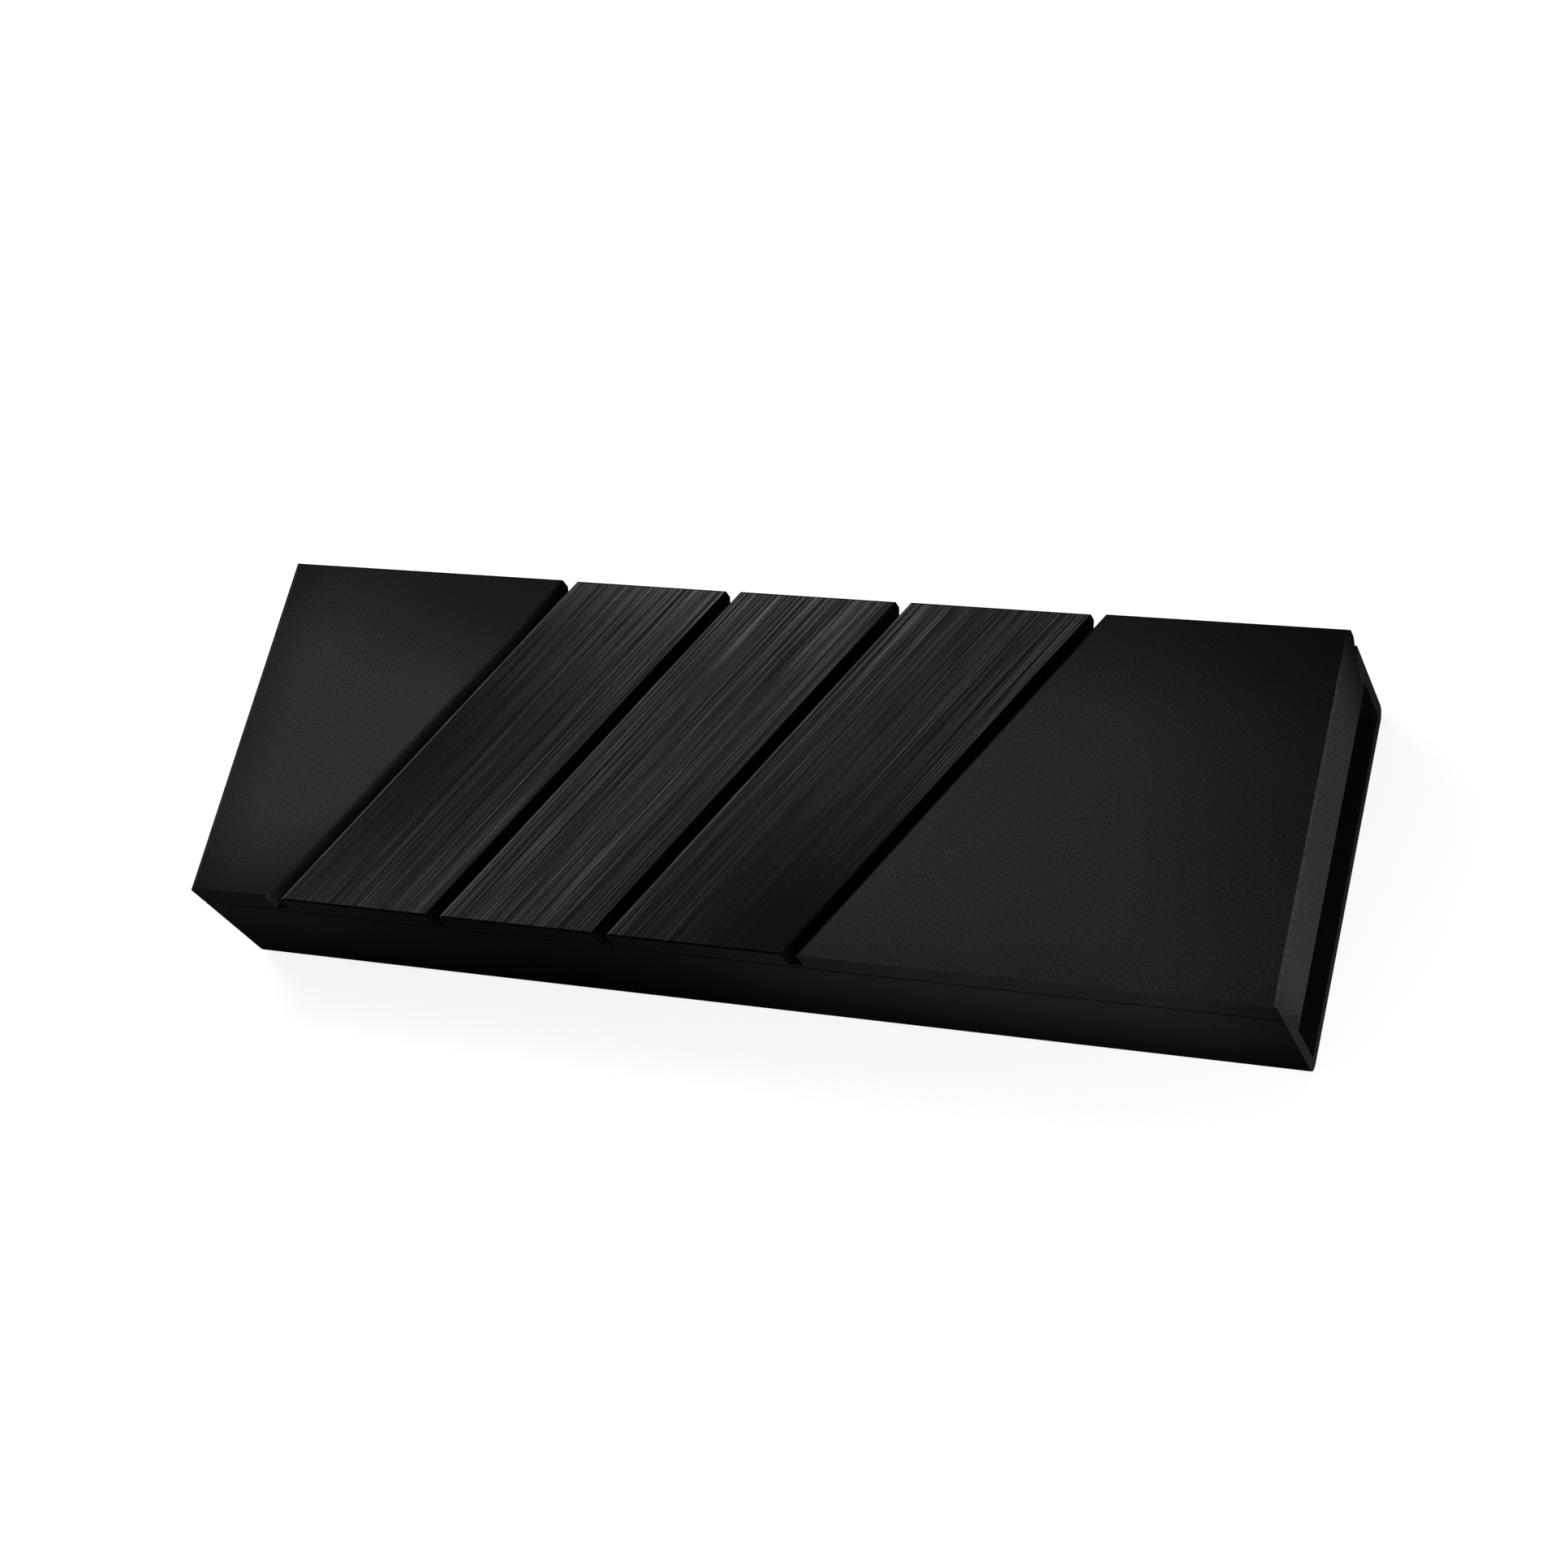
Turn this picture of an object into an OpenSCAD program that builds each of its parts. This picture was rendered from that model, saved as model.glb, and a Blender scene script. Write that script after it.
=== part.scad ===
// Clip-together heat sink for a 22 x 80 mm solid-state drive board.
// A grooved block snaps into a shallow channel, with a soft pad on each side of the board.
// Millimetres. X runs along the drive, Y across it to the far side, Z up.
// The origin is the middle of the tray's underside.

/* [Overall] */
// Length of block and tray, along the drive
length = 73.2; // [62:0.1:110]
// Width over the two long sides
width = 24.4; // [23.6:0.1:30]

/* [Tray] */
// Thickness of the tray's floor
floor_t = 0.85; // [0.6:0.05:1.5]
// Thickness of the tray's side walls
wall_t = 0.8; // [0.6:0.05:1.2]
// Outside radius of the two long bottom bends
bend_r = 0.8; // [0.4:0.05:1]
// Inside radius where the floor meets a wall
inner_r = 0.2; // [0.1:0.05:0.4]

/* [Snap hooks] */
// Thickness of a wall at its top edge, where the hook starts
hook_top_t = 0.3; // [0.2:0.05:0.5]
// How far a hook's tip stands in from the inner face of its wall
hook_reach = 0.65; // [0.3:0.05:1]
// Height of the hook's tip above the block's underside
hook_rise = 0.65; // [0.6:0.05:1.2]
// Drop of the hook's short lower flank
hook_flank = 0.55; // [0.3:0.05:0.6]
// Side clearance between the hooks and the block's vee grooves
clip_gap = 0.05; // [0.03:0.01:0.1]

/* [Block] */
// Thickness of the block, underside to top face
block_t = 5.6; // [4.8:0.1:9]
// Drop from the top face to the top of the tray's walls
seam_drop = 2.15; // [1.9:0.05:3]
// Open seam between the near lip and the wall under it
seam_gap = 0.1; // [0.05:0.01:0.2]
// Height of the upright lip on the far side, above its long slanted flank
far_lip_h = 1; // [0.5:0.05:1.6]
// Rounding of the block's long top edges
edge_r = 0.15; // [0.1:0.01:0.4]
// Rounding of the block's top edges at both ends
end_r = 0.25; // [0.1:0.01:0.4]

/* [Grooves and strips] */
// Angle of the grooves, from the long side
groove_angle = 59; // [50:0.5:75]
// Width of a groove between its upright walls, square to its run
groove_w = 0.9; // [0.7:0.05:1.5]
// Depth of a groove below the matt top face
groove_depth = 1.7; // [1:0.05:1.9]
// Width of the slanted edge that opens each groove on its right side
groove_edge_w = 0.15; // [0.05:0.01:0.3]
// Drop of that slanted edge
groove_edge_h = 0.06; // [0.03:0.01:0.15]
// From the left end to the first groove, along the near side
left_land = 5.7; // [3:0.05:10]
// Width of each of the first brushed strips, slanted edge included, square to its run
strip_w = 9.2; // [7:0.05:10.6]
// Width of the last brushed strip, slanted edge included, square to its run
last_strip_w = 10.2; // [7:0.05:12.2]
// How far the brushed strips lie below the matt top face
strip_drop = 0.13; // [0.05:0.01:0.3]

/* [Thermal pads] */
// Thickness of the pad on the tray's floor
lower_pad_t = 1.5; // [0.5:0.1:2]
// Thickness of the pad under the block
upper_pad_t = 1; // [0.5:0.1:2]
// Free height between the two pads, for the drive board
drive_gap = 2.05; // [1.5:0.05:4]
// From each end of the tray to the pads
pad_end_gap = 2.6; // [2:0.1:8]
// From each wall to the pads
pad_side_gap = 1.4; // [0.5:0.1:3]

/* [Hidden] */
$fn = 48;

half_w = width / 2;
block_z = floor_t + lower_pad_t + drive_gap + upper_pad_t;
height = block_z + block_t;
tray_h = height - seam_drop;
near_lip_z = tray_h + seam_gap;
far_lip_z = height - far_lip_h;
hook_z = block_z + hook_rise;
hook_in = wall_t + hook_reach;
vee_in = hook_in + clip_gap;
foot_in = wall_t + clip_gap;
strip_z = height - strip_drop;
groove_z = height - groove_depth;
past = 1;

strips = [strip_w, strip_w, last_strip_w];
pad_l = length - 2 * pad_end_gap;
pad_w = width - 2 * (wall_t + pad_side_gap);

// Place, square to the grooves, of the left edge of groove i
function groove_at(i) =
    i == 0 ? left_land * sin(groove_angle) : groove_at(i - 1) + groove_w + strips[i - 1];

// A section drawn as (y, z), run along the whole length
module along_length(run) {
    rotate([90, 0, 90]) linear_extrude(height = run, center = true) children();
}

// A section drawn as (across the groove, z), run along the grooves from the near left corner
module along_groove() {
    reach = length + width;
    translate([-length / 2, -half_w, 0])
        rotate([0, 0, groove_angle - 90])
            rotate([90, 0, 0])
                linear_extrude(height = 2 * reach, center = true) children();
}

// Space inside the tray: straight walls below, a hook along the top of each
module tray_opening() {
    right = [
        [half_w - wall_t - inner_r, floor_t],
        [half_w - wall_t, floor_t + inner_r],
        [half_w - wall_t, hook_z - hook_flank],
        [half_w - hook_in, hook_z],
        [half_w - hook_top_t, tray_h],
        [half_w - hook_top_t, tray_h + past],
    ];
    last = len(right) - 1;
    left = [for (i = [last:-1:0]) [-right[i][0], right[i][1]]];
    polygon(concat(right, left));
    for (side = [-1, 1])
        translate([side * (half_w - wall_t - inner_r), floor_t + inner_r]) circle(r = inner_r);
}

module tray_section() {
    difference() {
        union() {
            polygon([
                [-half_w, tray_h], [-half_w, bend_r], [-half_w + bend_r, 0],
                [half_w - bend_r, 0], [half_w, bend_r], [half_w, tray_h],
            ]);
            for (side = [-1, 1])
                translate([side * (half_w - bend_r), bend_r]) circle(r = bend_r);
        }
        tray_opening();
    }
}

// The near side has a lip over the wall. The far side slants from a short lip
// straight down to its vee groove, which leaves room to hook that side in first.
module block_section() {
    polygon([
        [-half_w + foot_in, block_z],
        [half_w - foot_in, block_z],
        [half_w - foot_in, hook_z - hook_flank],
        [half_w - vee_in, hook_z],
        [half_w, far_lip_z],
        [half_w, height - edge_r],
        [half_w - edge_r, height],
        [-half_w + edge_r, height],
        [-half_w, height - edge_r],
        [-half_w, near_lip_z],
        [-half_w + hook_top_t + clip_gap, near_lip_z],
        [-half_w + vee_in, hook_z],
        [-half_w + foot_in, hook_z - hook_flank],
    ]);
    for (side = [-1, 1])
        translate([side * (half_w - edge_r), height - edge_r]) circle(r = edge_r);
}

// What rounds the top edge off at one end; side is -1 for the left end, 1 for the right
module end_rounding(side) {
    translate([side * (length / 2 - end_r), 0, height - end_r])
        rotate([90, 0, 0])
            linear_extrude(height = width + past, center = true)
                difference() {
                    translate([side > 0 ? 0 : -past, 0]) square([past, past]);
                    circle(r = end_r);
                }
}

// One groove, open at the top and at both long sides. Its right wall ends in a slanted edge,
// below a strip's face, or below the matt top face for the last groove.
module groove_cut(i) {
    a = groove_at(i);
    b = a + groove_w;
    face_z = i < len(strips) ? strip_z : height;
    along_groove()
        polygon([
            [a, groove_z], [b, groove_z], [b, face_z - groove_edge_h], [b + groove_edge_w, face_z],
            [b + groove_edge_w, height + past], [a, height + past],
        ]);
}

// The thin slice that is milled off above strip i, from the groove on its left to the next one
module strip_cut(i) {
    a = groove_at(i) + groove_w / 2;
    along_groove()
        translate([a, strip_z]) square([groove_w + strips[i], strip_drop + past]);
}

module base_tray() {
    color("#18181a") along_length(length) tray_section();
}

module top_block() {
    color("#242427")
        difference() {
            along_length(length) block_section();
            for (side = [-1, 1]) end_rounding(side);
            for (i = [0:len(strips) - 1]) strip_cut(i);
            for (i = [0:len(strips)]) groove_cut(i);
        }
}

module lower_thermal_pad() {
    color("#6d7176")
        translate([-pad_l / 2, -pad_w / 2, floor_t]) cube([pad_l, pad_w, lower_pad_t]);
}

module upper_thermal_pad() {
    color("#6d7176")
        translate([-pad_l / 2, -pad_w / 2, block_z - upper_pad_t]) cube([pad_l, pad_w, upper_pad_t]);
}

base_tray();
top_block();
lower_thermal_pad();
upper_thermal_pad();
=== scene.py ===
# %% [markdown]
# A clip-together heat sink for a solid-state drive board, dressed for a product picture.
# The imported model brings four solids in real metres: a thin tray, a thick grooved block that clips
# into it, and two soft pads. All of them stay exactly where they are. What this script adds is the
# finish of each surface, the tiny broken edges, the floor, the light and the camera.

# %% Load the solids
import math

import bmesh
import bpy
from mathutils import Matrix, Vector


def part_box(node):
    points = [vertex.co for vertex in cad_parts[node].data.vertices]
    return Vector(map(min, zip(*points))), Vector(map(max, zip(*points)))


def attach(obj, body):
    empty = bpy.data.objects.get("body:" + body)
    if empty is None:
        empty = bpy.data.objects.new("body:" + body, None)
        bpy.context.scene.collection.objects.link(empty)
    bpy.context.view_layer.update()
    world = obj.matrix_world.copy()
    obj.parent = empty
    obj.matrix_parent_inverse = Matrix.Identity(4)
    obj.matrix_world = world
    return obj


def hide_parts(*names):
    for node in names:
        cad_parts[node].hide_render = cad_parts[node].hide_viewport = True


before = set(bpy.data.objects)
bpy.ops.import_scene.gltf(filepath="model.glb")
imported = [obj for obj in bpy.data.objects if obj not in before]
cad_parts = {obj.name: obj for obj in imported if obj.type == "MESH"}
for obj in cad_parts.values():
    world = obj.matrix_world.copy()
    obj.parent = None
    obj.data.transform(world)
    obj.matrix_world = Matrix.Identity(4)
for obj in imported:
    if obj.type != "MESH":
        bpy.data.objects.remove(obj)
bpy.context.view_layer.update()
mm = 0.001
print("solids:", sorted(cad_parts))

# %% [markdown]
# Everything else is worked out from a few places on the solids: the top face, the two long sides
# and the ends. The grooves run at 59 degrees from the long side, and the three strips between them
# are milled a little lower than the matt lands. A direction along the grooves and one across them
# turn up again in the brushing and in the choice of which face gets which finish.

# %% Main places on the solids
block_low, block_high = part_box("top_block")
tray_low, tray_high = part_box("base_tray")
top_z = block_high.z
end_x = block_high.x
side_y = block_high.y
groove_turn = math.radians(59)
along_groove = Vector((math.cos(groove_turn), math.sin(groove_turn), 0))
across_groove = Vector((math.sin(groove_turn), -math.cos(groove_turn), 0))
print("top at", round(top_z / mm, 2), "mm, ends at", round(end_x / mm, 2), "mm")

# %% [markdown]
# The camera looks down from the near right, from about 210 mm away, through a long lens, and it is
# rolled by some 37 degrees, which is why the part seems to climb to the left. Giving the camera an
# aim, two angles, a distance and a roll is easier to read and to change than a matrix.

# %% Camera
aim = Vector((3.09, -1.03, 11.0)) * mm
camera_turn = math.radians(47.28)
camera_rise = math.radians(57.67)
camera_roll = math.radians(-37.46)
camera_distance = 207.8 * mm

back = Vector((
    math.sin(camera_turn) * math.cos(camera_rise),
    -math.cos(camera_turn) * math.cos(camera_rise),
    math.sin(camera_rise),
))
camera = bpy.data.objects.new("camera", bpy.data.cameras.new("camera"))
camera.data.lens = 76.76
camera.data.sensor_width = 36
camera.data.clip_start = 0.01
upright = back.to_track_quat("Z", "Y").to_matrix().to_4x4()
camera.matrix_world = (
    Matrix.Translation(aim + back * camera_distance) @ upright @ Matrix.Rotation(camera_roll, 4, "Z")
)
bpy.context.scene.collection.objects.link(camera)
bpy.context.scene.camera = camera
print("camera at", [round(v / mm, 1) for v in camera.matrix_world.translation])

# %% [markdown]
# The picture has a plain white ground. The floor is a pale sheet that takes the part's soft shadow,
# and a little of its own white is added for what the camera and the reflections see, so that it
# closes to plain white away from the part without any more light on the black metal.

# %% Floor and world
def link(tree, source, target):
    tree.links.new(source, target)
    return target


def add_node(tree, kind, **settings):
    node = tree.nodes.new(kind)
    for name, value in settings.items():
        setattr(node, name, value)
    return node


def seen_directly(tree):
    """1 for what the camera, a mirror or a glass sees, and 0 for light that falls on the part."""
    path = add_node(tree, "ShaderNodeLightPath")
    first = add_node(tree, "ShaderNodeMath", operation="MAXIMUM")
    both = add_node(tree, "ShaderNodeMath", operation="MAXIMUM")
    link(tree, path.outputs["Is Camera Ray"], first.inputs[0])
    link(tree, path.outputs["Is Glossy Ray"], first.inputs[1])
    link(tree, first.outputs[0], both.inputs[0])
    link(tree, path.outputs["Is Transmission Ray"], both.inputs[1])
    return both.outputs[0]


floor_white = 0.4
floor_lift = 0.83
world_light = 0.3

floor_mesh = bmesh.new()
bmesh.ops.create_circle(floor_mesh, cap_ends=True, radius=2.5, segments=96)
floor_data = bpy.data.meshes.new("floor")
floor_mesh.to_mesh(floor_data)
floor_mesh.free()
floor = bpy.data.objects.new("floor", floor_data)
floor.location.z = -0.00002
bpy.context.scene.collection.objects.link(floor)

paper = bpy.data.materials.new("white_ground")
paper.use_nodes = True
tree = paper.node_tree
surface = tree.nodes["Principled BSDF"]
surface.inputs["Base Color"].default_value = (floor_white, floor_white, floor_white, 1)
surface.inputs["Roughness"].default_value = 0.9
surface.inputs["Specular IOR Level"].default_value = 0
surface.inputs["Emission Color"].default_value = (1, 1, 1, 1)
lift = add_node(tree, "ShaderNodeMath", operation="MULTIPLY")
lift.inputs[1].default_value = floor_lift
link(tree, seen_directly(tree), lift.inputs[0])
link(tree, lift.outputs[0], surface.inputs["Emission Strength"])
floor.data.materials.append(paper)

world = bpy.data.worlds.new("studio")
bpy.context.scene.world = world
world.use_nodes = True
world.node_tree.nodes["Background"].inputs["Color"].default_value = (1, 1, 1, 1)
sky = add_node(world.node_tree, "ShaderNodeMapRange")
sky.inputs["To Min"].default_value = world_light
sky.inputs["To Max"].default_value = 1
link(world.node_tree, seen_directly(world.node_tree), sky.inputs["Value"])
link(world.node_tree, sky.outputs["Result"], world.node_tree.nodes["Background"].inputs["Strength"])
print("floor and world made")

# %% [markdown]
# Two soft panels light the part. The large one hangs behind and to the left, where the matt top
# mirrors it weakly; most of the left land's lightness and of the far right corner's darkness is
# painted into the top's finish as highlight and shade.
# The small one stands off the right end and picks out the cut end face.

# %% Lamps
def soft_panel(name, place, target, size, level):
    """A square soft box. Its level is what a white card at the target would show."""
    reach = Vector(target) - Vector(place)
    lamp = bpy.data.lights.new(name, "AREA")
    lamp.shape = "RECTANGLE"
    lamp.size, lamp.size_y = size
    lamp.energy = level * math.pi ** 2 * reach.length_squared
    panel = bpy.data.objects.new(name, lamp)
    panel.location = place
    panel.rotation_euler = reach.to_track_quat("-Z", "Y").to_euler()
    bpy.context.scene.collection.objects.link(panel)
    print(name, "at", [round(v / mm) for v in place], "energy", round(lamp.energy, 3), "W")
    return panel


soft_panel("key_panel", (-0.045, 0.034, 0.09), (-0.02, 0, top_z), (0.09, 0.02), 0.8)
soft_panel("end_panel", (0.075, -0.045, 0.025), (end_x, -side_y, 0.006), (0.02, 0.02), 0.5)

# %% [markdown]
# Every finish is painted on object coordinates. The cell of a noise is given in millimetres, so the
# grain keeps its real size, and a turn swings its long axis along the brushing. A spot is a soft
# darker or lighter place painted into the colour: painted shade and painted highlights that stand
# in for the room that the satin black mirrors and for the fall of the light.

# %% Helpers for the finishes
def finish(name, roughness, specular):
    material = bpy.data.materials.new(name)
    material.use_nodes = True
    shader = material.node_tree.nodes["Principled BSDF"]
    shader.inputs["Roughness"].default_value = roughness
    shader.inputs["Specular IOR Level"].default_value = specular
    return material, material.node_tree, shader


def cells(tree, centre, cell, turn):
    """Object coordinates counted in cells from a centre, both given in millimetres."""
    place = add_node(tree, "ShaderNodeTexCoord")
    grid = add_node(tree, "ShaderNodeMapping", vector_type="TEXTURE")
    grid.inputs["Location"].default_value = [c * mm for c in centre]
    grid.inputs["Rotation"].default_value = (0, 0, turn)
    grid.inputs["Scale"].default_value = [c * mm for c in cell]
    link(tree, place.outputs["Object"], grid.inputs["Vector"])
    return grid.outputs["Vector"]


def grain(tree, cell, turn=0.0, shift=0.0, detail=1.0):
    """Noise from 0 to 1 whose cell is (x, y, z) millimetres, turned about the upright axis."""
    noise = add_node(tree, "ShaderNodeTexNoise")
    noise.inputs["Scale"].default_value = 1
    noise.inputs["Detail"].default_value = detail
    link(tree, cells(tree, (shift, shift, shift), cell, turn), noise.inputs["Vector"])
    return noise.outputs["Fac"]


def spread(tree, source, low, high, start=0.3, end=0.7, soft=False):
    """Stretches what lies between start and end over low to high."""
    stretch = add_node(tree, "ShaderNodeMapRange")
    if soft:
        stretch.interpolation_type = "SMOOTHSTEP"
    stretch.inputs["From Min"].default_value = start
    stretch.inputs["From Max"].default_value = end
    stretch.inputs["To Min"].default_value = low
    stretch.inputs["To Max"].default_value = high
    link(tree, source, stretch.inputs["Value"])
    return stretch.outputs["Result"]


def light_spot(tree, centre, reach, factor, turn=0.0):
    """A factor in the middle of an oval place, and 1 from its rim outwards, for painted shade and light."""
    distance = add_node(tree, "ShaderNodeVectorMath", operation="LENGTH")
    link(tree, cells(tree, centre, reach, turn), distance.inputs[0])
    return spread(tree, distance.outputs["Value"], factor, 1, start=0, end=1, soft=True)


def times(tree, first, *others):
    for other in others:
        product = add_node(tree, "ShaderNodeMath", operation="MULTIPLY")
        link(tree, first, product.inputs[0])
        link(tree, other, product.inputs[1])
        first = product.outputs[0]
    return first


def relief(tree, shader, height, depth):
    """Turns a height from 0 to 1 into a relief that is depth millimetres deep."""
    bump = add_node(tree, "ShaderNodeBump")
    bump.inputs["Strength"].default_value = 1
    bump.inputs["Distance"].default_value = depth * mm
    link(tree, height, bump.inputs["Height"])
    link(tree, bump.outputs["Normal"], shader.inputs["Normal"])


far_off = 400

# %% [markdown]
# The lands, the sides and the tray are blasted with fine beads and then anodised black. Blasting
# leaves dimples of one or two tenths of a millimetre, which show as a speckle. On top, painted
# shade makes the tone fall off towards the far side, the right end and the near left corner, and a
# painted highlight lightens the left land. The sides are painted paler towards the right and darker
# along the bottom, as painted light and shade.

# %% Blasted finish
def blasted(name, tone, contrast, light_spots, roughness=0.4, specular=0.02):
    material, tree, shader = finish(name, roughness, specular)
    dimples = grain(tree, (0.11, 0.11, 0.11), detail=2)
    speckle = spread(tree, dimples, tone * (1 - contrast), tone * (1 + contrast))
    drift = spread(tree, grain(tree, (9, 9, 9), shift=3), 0.93, 1.07)
    painted_light = [light_spot(tree, *place) for place in light_spots]
    link(tree, times(tree, speckle, drift, *painted_light), shader.inputs["Base Color"])
    relief(tree, shader, dimples, 0.006)
    return material


# Painted light on the top: a highlight on the left land, shade at the far side, ends and near edge.
blasted_top_painted_light = blasted("blasted_top_painted_light", 0.021, 0.65, [
    ((0, 13, 11), (far_off, 12, far_off), 0.24),
    ((-38, -14, 11), (60, 9, far_off), 0.2),
    ((-38, 0, 11), (5, far_off, far_off), 0.5),
    ((38, 4, 11), (16, 30, far_off), 0.4),
    ((38, 15, 11), (14, 12, far_off), 0.5),
    ((-35, 11, 11), (11, 9, far_off), 1.6),
    ((-19, 12, 11), (10, 12, far_off), 0.35),
    ((14, -14, 11), (30, 7, far_off), 0.65),
    ((38, -14, 11), (8, 8, far_off), 0.6),
])
# Painted light on the sides: paler right of the middle, painted shade elsewhere and along the bottom.
blasted_side_painted_light = blasted("blasted_side_painted_light", 0.018, 0.28, [
    ((-12, 0, 6), (20, far_off, far_off), 0.5),
    ((17, 0, 6), (22, far_off, far_off), 1.45),
    ((39, 0, 6), (9, far_off, far_off), 0.4),
    ((0, 0, -1), (far_off, far_off, 10), 0.2),
], roughness=0.6, specular=0)
# Painted shade: the tray's inside is the same blasted black, painted darker.
blasted_inside_painted_shade = blasted("blasted_inside_painted_shade", 0.0065, 0.28, [], roughness=0.6, specular=0)

# %% [markdown]
# The strips are brushed along the grooves after milling, before the dye. Each bristle leaves a line
# of about a tenth of a millimetre that runs nearly the whole length, and the lines take the dye
# differently. Noises with very long cells make the hair lines, the shorter lines, the bright lines
# and the bands between them, and a nearly round one breaks them up. Painted reflections lie over
# them: a painted highlight makes the far edge the palest place, and painted shade darkens the middle
# of the first strip and, most, the near right corner of the last strip.

# %% Brushed finish
def brushed(name, tone, light_spots, roughness=0.4, specular=0.02):
    material, tree, shader = finish(name, roughness, specular)
    hair = grain(tree, (24, 0.1, far_off), turn=groove_turn)
    short = grain(tree, (6, 0.08, far_off), turn=groove_turn, shift=3)
    bright = grain(tree, (26, 0.08, far_off), turn=groove_turn, shift=17)
    band = grain(tree, (50, 0.4, far_off), turn=groove_turn, shift=5)
    dust = grain(tree, (0.12, 0.08, far_off), turn=groove_turn, shift=9)
    lines = times(tree, spread(tree, hair, 0, 2, start=0.35, end=0.65), spread(tree, short, 0.2, 1.8))
    extras = times(tree, spread(tree, bright, 1, 1.9, start=0.54, end=0.7), spread(tree, band, 0.6, 1.4))
    painted_light = [light_spot(tree, *place) for place in light_spots]
    paint = times(tree, lines, extras, spread(tree, dust, 0.65, 1.35), *painted_light)
    dye = add_node(tree, "ShaderNodeMath", operation="MULTIPLY")
    dye.inputs[1].default_value = tone
    link(tree, paint, dye.inputs[0])
    link(tree, dye.outputs[0], shader.inputs["Base Color"])
    relief(tree, shader, hair, 0.003)
    return material


# Painted reflections on the strips: a highlight at the far edge, shade in the first and last strips.
brushed_strip_painted_light = brushed("brushed_strip_painted_light", 0.018, [
    ((-24, -1, 11), (19, 13, far_off), 0.08, groove_turn),
    ((-15, 1, 11), (9, 8, far_off), 0.7, groove_turn),
    ((-3, 15, 11), (20, 10, far_off), 2.4),
    ((5, -12, 11), (23, 16, far_off), 0.05, groove_turn),
    ((4, -12.5, 11), (10, 9, far_off), 0.4, groove_turn),
])

# %% [markdown]
# The groove walls are left as the cutter made them, and are painted nearly black as shade, lighter
# towards both open ends where light gets in. The two ends are sawn and faced, with the rounding over
# the right end, and are the palest bare places; they are painted darker towards the far side and the
# near edge as shade. The far and left edge roundings and the strips' near edge flats are painted
# nearly black as shadow, and the flat on the left edge of a strip is painted bright as a highlight.

# %% Milled, sawn and edge finishes
def cut_finish(name, tone, cell, light_spots=(), turn=0.0):
    material, tree, shader = finish(name, 0.5, 0)
    marks = grain(tree, cell, turn=turn, detail=2)
    painted_light = [light_spot(tree, *place) for place in light_spots]
    link(tree, times(tree, spread(tree, marks, tone * 0.6, tone * 1.4), *painted_light), shader.inputs["Base Color"])
    relief(tree, shader, marks, 0.003)
    return material


# Painted shade on the cut ends: darker towards the far side and towards the near edge.
end_painted_shade = [
    ((0, 13.5, 8), (far_off, 7, far_off), 0.04),
    ((0, -14, 8), (far_off, 5, far_off), 0.4),
]
# Painted shade in the grooves, lifted by painted light towards both open ends.
open_end_light = [((0, -13.5, 10), (far_off, 4, far_off), 1.5), ((0, 13.5, 10), (far_off, 4, far_off), 4)]
milled_groove_painted_shade = cut_finish("milled_groove_painted_shade", 0.004, (8, 0.2, 0.08), open_end_light, turn=groove_turn)
sawn_end_painted_shade = cut_finish("sawn_end_painted_shade", 0.057, (0.1, 0.16, 0.16), end_painted_shade)
sawn_tray_end = cut_finish("sawn_tray_end", 0.03, (0.1, 0.16, 0.16))
# Painted shadow: nearly black for the far and left edge roundings and the tray's rim faces.
painted_edge_shadow = cut_finish("painted_edge_shadow", 0.002, (0.3, 0.3, 0.3))
# Painted highlight: the flat on the left edge of each strip is painted bright.
painted_edge_highlight = cut_finish("painted_edge_highlight", 0.065, (3, 0.3, 0.3), turn=groove_turn)

# %% [markdown]
# A loaded solid is a bag of loose triangles, and it has to stay as it is. For a body whose edges
# and faces are to be worked on, the way is a merged copy that stands for it: the doubles are welded,
# flat neighbours are joined into whole faces again, and then each face can be given its finish.

# %% A whole-faced copy of a solid
def whole_copy(node, name):
    """A welded copy of a solid, with one face per flat place."""
    shape = bmesh.new()
    shape.from_mesh(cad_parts[node].data)
    bmesh.ops.remove_doubles(shape, verts=shape.verts, dist=0.0005 * mm)
    bmesh.ops.dissolve_limit(
        shape, angle_limit=math.radians(0.6), verts=shape.verts, edges=shape.edges
    )
    print(name, "has", len(shape.faces), "faces and", len(shape.verts), "corners")
    return shape


def break_edges(shape, edges, width):
    """Cuts a narrow flat along each of the given edges."""
    bmesh.ops.bevel(
        shape, geom=edges, offset=width * mm, offset_type="OFFSET", affect="EDGES",
        segments=1, profile=0.5, material=-1, clamp_overlap=False,
    )


def along_x(edge):
    a, b = (v.co for v in edge.verts)
    return abs((b - a).normalized().x) > 0.999


def finished_piece(shape, name, finishes, slot, *nodes):
    """Makes the object, shades its roundings smooth and its flats flat, and hangs it on the body."""
    for vertex in shape.verts:
        vertex.co.y = max(-side_y, min(side_y, vertex.co.y))
    data = bpy.data.meshes.new(name)
    for face in shape.faces:
        face.smooth = True
    shape.to_mesh(data)
    shape.free()
    for material in finishes:
        data.materials.append(material)
    data.set_sharp_from_angle(angle=math.radians(35))
    piece = bpy.data.objects.new(name, data)
    bpy.context.scene.collection.objects.link(piece)
    even = piece.modifiers.new("even_normals", "WEIGHTED_NORMAL")
    even.keep_sharp = True
    even.weight = 100
    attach(piece, "root")
    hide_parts(*nodes)
    return piece


# %% [markdown]
# The block. First the strips' long edges and the upper outside edge of the seam are broken by a few
# hundredths of a millimetre, and so is the left edge of each strip, whose flat is painted bright as
# a highlight. Then the faces sort themselves: by which way they look, and by how far they lie below
# the top.

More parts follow.
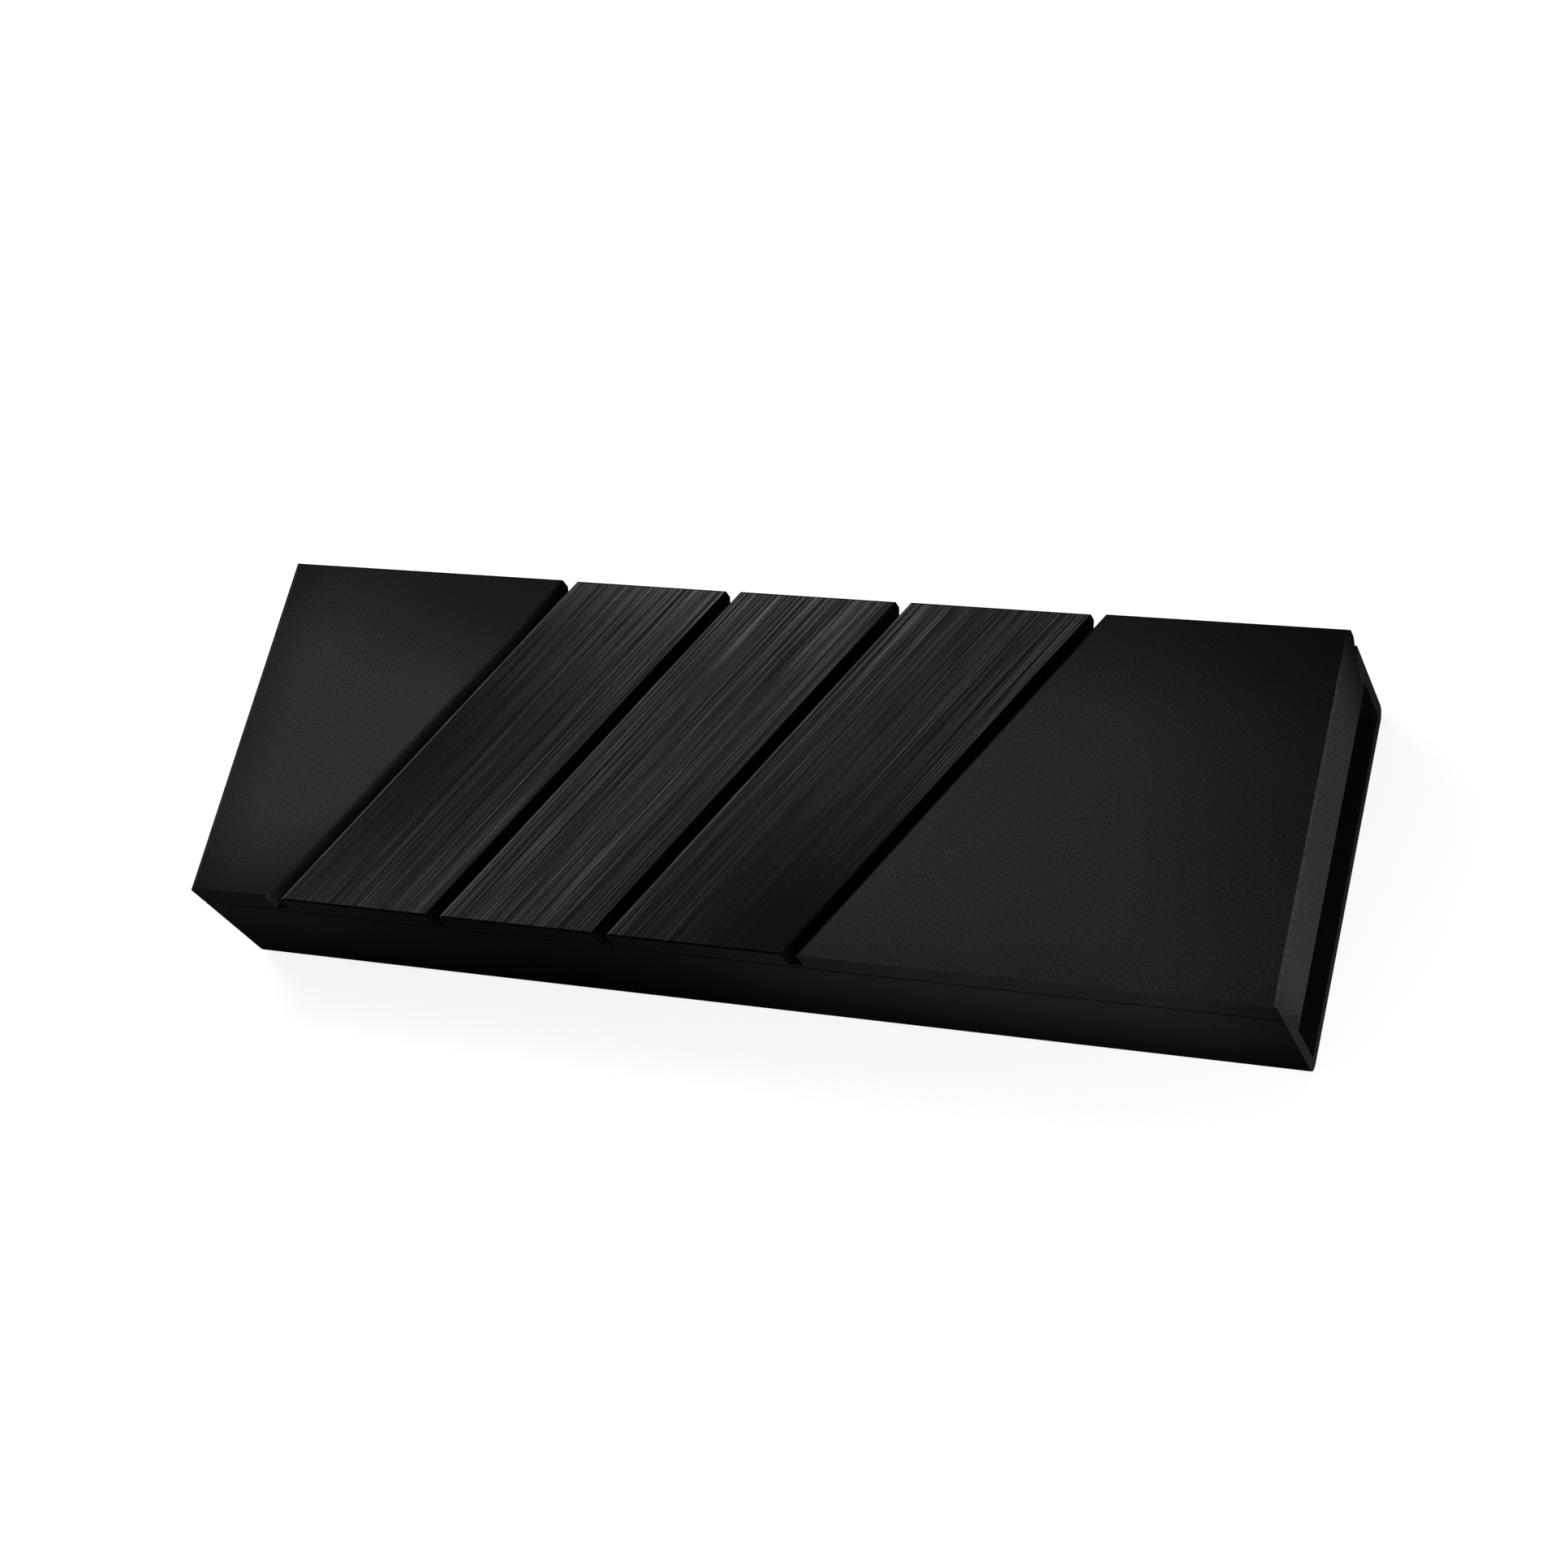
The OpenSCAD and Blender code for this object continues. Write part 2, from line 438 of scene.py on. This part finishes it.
# %% Block
TOP, SIDE, BRUSHED, MILLED, SAWN, EDGE_SHADOW, EDGE_HIGHLIGHT = range(7)
block_finishes = [
    blasted_top_painted_light, blasted_side_painted_light, brushed_strip_painted_light, milled_groove_painted_shade, sawn_end_painted_shade, painted_edge_shadow, painted_edge_highlight,
]
strip_z = top_z - 0.13 * mm
seam_z = tray_high.z + 0.1 * mm
flank_closing = 0.085 * mm


def at_height(edge, z):
    return all(abs(v.co.z - z) < 0.004 * mm for v in edge.verts)


def outside(edge):
    return all(abs(v.co.y) > side_y - 0.01 * mm for v in edge.verts)


def strip_rim(edge):
    """A long edge or the left edge of a brushed strip."""
    if edge.calc_length() < 5 * mm or not at_height(edge, strip_z) or len(edge.link_faces) < 2:
        return False
    flat, other = sorted(edge.link_faces, key=lambda f: -f.normal.z)
    steep = abs(other.normal.y) > 0.9 or other.normal.dot(across_groove) < -0.2
    return flat.normal.z > 0.999 and steep


def block_finish(face):
    normal = face.normal
    depth = (top_z - face.calc_center_median().z) / mm
    leaning = normal.dot(across_groove)
    if normal.x > 0.2 and (depth < 0.3 or normal.x > 0.99) or normal.x < -0.99:
        return SAWN
    # Faces leaning towards a groove near the top: steeper ones get the groove's painted shade, the rest a painted
    # highlight.
    if depth < 0.3 and normal.z > 0.9 and leaning < -0.03 and abs(normal.dot(along_groove)) < 0.05:
        return MILLED if leaning < -0.3 else EDGE_HIGHLIGHT
    if normal.z > 0.999 and 0.1 < depth < 0.16:
        return BRUSHED
    # Painted shadow on the far and left edge roundings and on the strips' near edge flats.
    if depth < 0.3 and normal.z > 0.1 and (normal.y > 0.2 or normal.x < -0.2 or (depth > 0.13 and normal.y < -0.6)):
        return EDGE_SHADOW
    if abs(leaning) > 0.9 or (normal.z > 0.99 and 1 < depth < 2):
        return MILLED
    return TOP if normal.z > 0.5 and depth < 0.5 else SIDE


block = whole_copy("top_block", "block")
corners = [
    v for v in block.verts
    if abs(v.co.z - strip_z) < 0.025 * mm and abs(v.co.y) > side_y - 0.01 * mm and abs(v.co.x) < end_x - mm
]
for vertex in corners:
    vertex.co.z = strip_z
    vertex.co.y = math.copysign(side_y, vertex.co.y)
bmesh.ops.remove_doubles(block, verts=corners, dist=0.1 * mm)
flank_top = [
    v for v in block.verts
    if abs(v.co.z - seam_z) < 0.004 * mm and -side_y + 0.2 * mm < v.co.y < 0
]
for vertex in flank_top:
    vertex.co.y -= flank_closing
block.normal_update()
long_rims = [e for e in block.edges if strip_rim(e) and along_x(e)]
break_edges(block, long_rims, 0.11)
block.normal_update()
left_rims = [e for e in block.edges if strip_rim(e) and not along_x(e)]
break_edges(block, left_rims, 0.07)
seam_edges = [e for e in block.edges if along_x(e) and outside(e) and at_height(e, seam_z)]
break_edges(block, seam_edges, 0.02)
bmesh.ops.remove_doubles(block, verts=block.verts, dist=0.002 * mm)
bmesh.ops.dissolve_degenerate(block, edges=block.edges, dist=0.002 * mm)
block.normal_update()
print(len(corners), "corners snapped,", len(long_rims), "long and", len(left_rims), "left rims")
print(len(seam_edges), "seam edges")
for face in block.faces:
    face.material_index = block_finish(face)
print("faces of each finish:", [sum(f.material_index == k for f in block.faces) for k in range(7)])
finished_piece(block, "block", block_finishes, "block_anodised", "top_block")

# %% [markdown]
# The tray is one thin extrusion, blasted all over, with the same cut face at both ends. Its inside
# is painted darker as shade. Its upper outside edges are broken like the block's, and the faces
# along the top of its walls are painted nearly black as the seam's shadow, so that the seam shows
# as a fine dark line.

# %% Tray
tray = whole_copy("base_tray", "tray")
rim = [e for e in tray.edges if along_x(e) and outside(e) and at_height(e, tray_high.z)]
print(len(rim), "rim edges")
break_edges(tray, rim, 0.02)
tray.normal_update()
for face in tray.faces:
    middle = face.calc_center_median()
    on_rim = middle.z > tray_high.z - 0.06 * mm
    within = abs(middle.y) < side_y - 0.2 * mm and middle.z > 0.3 * mm
    # Rim faces take the near-black painted seam shadow, and the inside faces the darker painted shade.
    face.material_index = 1 if abs(face.normal.x) > 0.99 else 2 if on_rim else 3 if within else 0
finished_piece(
    tray, "tray", [blasted_side_painted_light, sawn_tray_end, painted_edge_shadow, blasted_inside_painted_shade], "tray_anodised", "base_tray"
)

# %% [markdown]
# The two pads are soft silicone sheets, cut with a knife. They keep their solids' size, but their
# corners are rounded a little and the faces are not quite even.

# %% Pads
pad_silicone, tree, shader = finish("pad_silicone", 0.7, 0.3)
link(tree, spread(tree, grain(tree, (0.25, 0.25, 0.25), detail=3), 0.1, 0.17), shader.inputs["Base Color"])
relief(tree, shader, grain(tree, (1.2, 1.2, 1.2), detail=3), 0.03)


def soft_pad(node, name):
    shape = whole_copy(node, name)
    bmesh.ops.bevel(
        shape, geom=shape.edges[:], offset=0.15 * mm, offset_type="OFFSET", affect="EDGES",
        segments=3, profile=0.5, material=-1, clamp_overlap=True,
    )
    pad = finished_piece(shape, name, [pad_silicone], "thermal_pad", node)
    return pad


soft_pad("lower_thermal_pad", "lower_pad")
soft_pad("upper_thermal_pad", "upper_pad")

# %% [markdown]
# The picture is shown as it is, with no film look on top.

# %% View transform
bpy.context.scene.view_settings.view_transform = "Standard"
